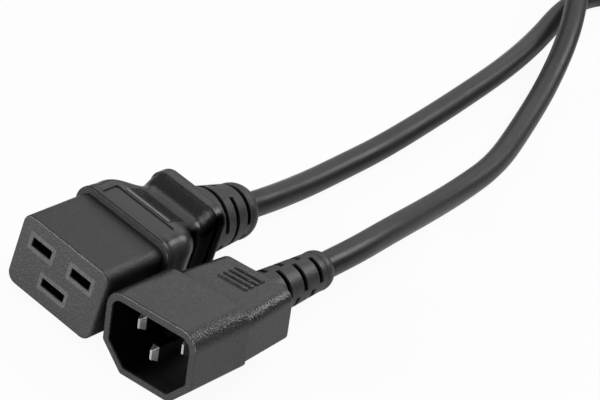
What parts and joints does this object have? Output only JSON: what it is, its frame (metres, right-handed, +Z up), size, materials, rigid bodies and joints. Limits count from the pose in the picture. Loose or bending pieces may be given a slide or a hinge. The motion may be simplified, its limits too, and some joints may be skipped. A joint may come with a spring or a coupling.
{
  "type": "c19 power connector",
  "caption": "Moulded C19 power connector on a round black cord that ends in a C14 plug, with a slotted strain relief on each.",
  "frame": {"origin": "bottom centre of the C19 connector's own box, on the surface it lies on", "axes": "+Y from the mating face toward the strain relief, +Z up, +X toward the C14 plug"},
  "size_m": [0.0911, 0.4032, 0.0246],
  "materials": {
    "overmould": "fine spark-eroded grain",
    "contact_block": "smooth moulded",
    "contact_brass": "plain",
    "nickel_pin": "nickel plated",
    "copper": "bare strands",
    "line_core": "extruded",
    "neutral_core": "extruded",
    "earth_core": "extruded",
    "cord_jacket": "smooth extruded"
  },
  "bodies": {
    "lead": {"c14_earth_copper": "copper", "c14_earth_core": "earth_core", "c14_earth_pin": "nickel_pin", "c14_housing": "overmould", "c14_line_copper": "copper", "c14_line_core": "line_core", "c14_line_pin": "nickel_pin", "c14_neutral_copper": "copper", "c14_neutral_core": "neutral_core", "c14_neutral_pin": "nickel_pin", "c14_pin_carrier": "contact_block", "c19_contact_carrier": "contact_block", "c19_earth_contact": "contact_brass", "c19_earth_copper": "copper", "c19_earth_core": "earth_core", "c19_housing": "overmould", "c19_line_contact": "contact_brass", "c19_line_copper": "copper", "c19_line_core": "line_core", "c19_neutral_contact": "contact_brass", "c19_neutral_copper": "copper", "c19_neutral_core": "neutral_core", "cord_c14_run": "cord_jacket", "cord_c19_run": "cord_jacket", "cord_coil": "cord_jacket"}
  },
  "joints": []
}
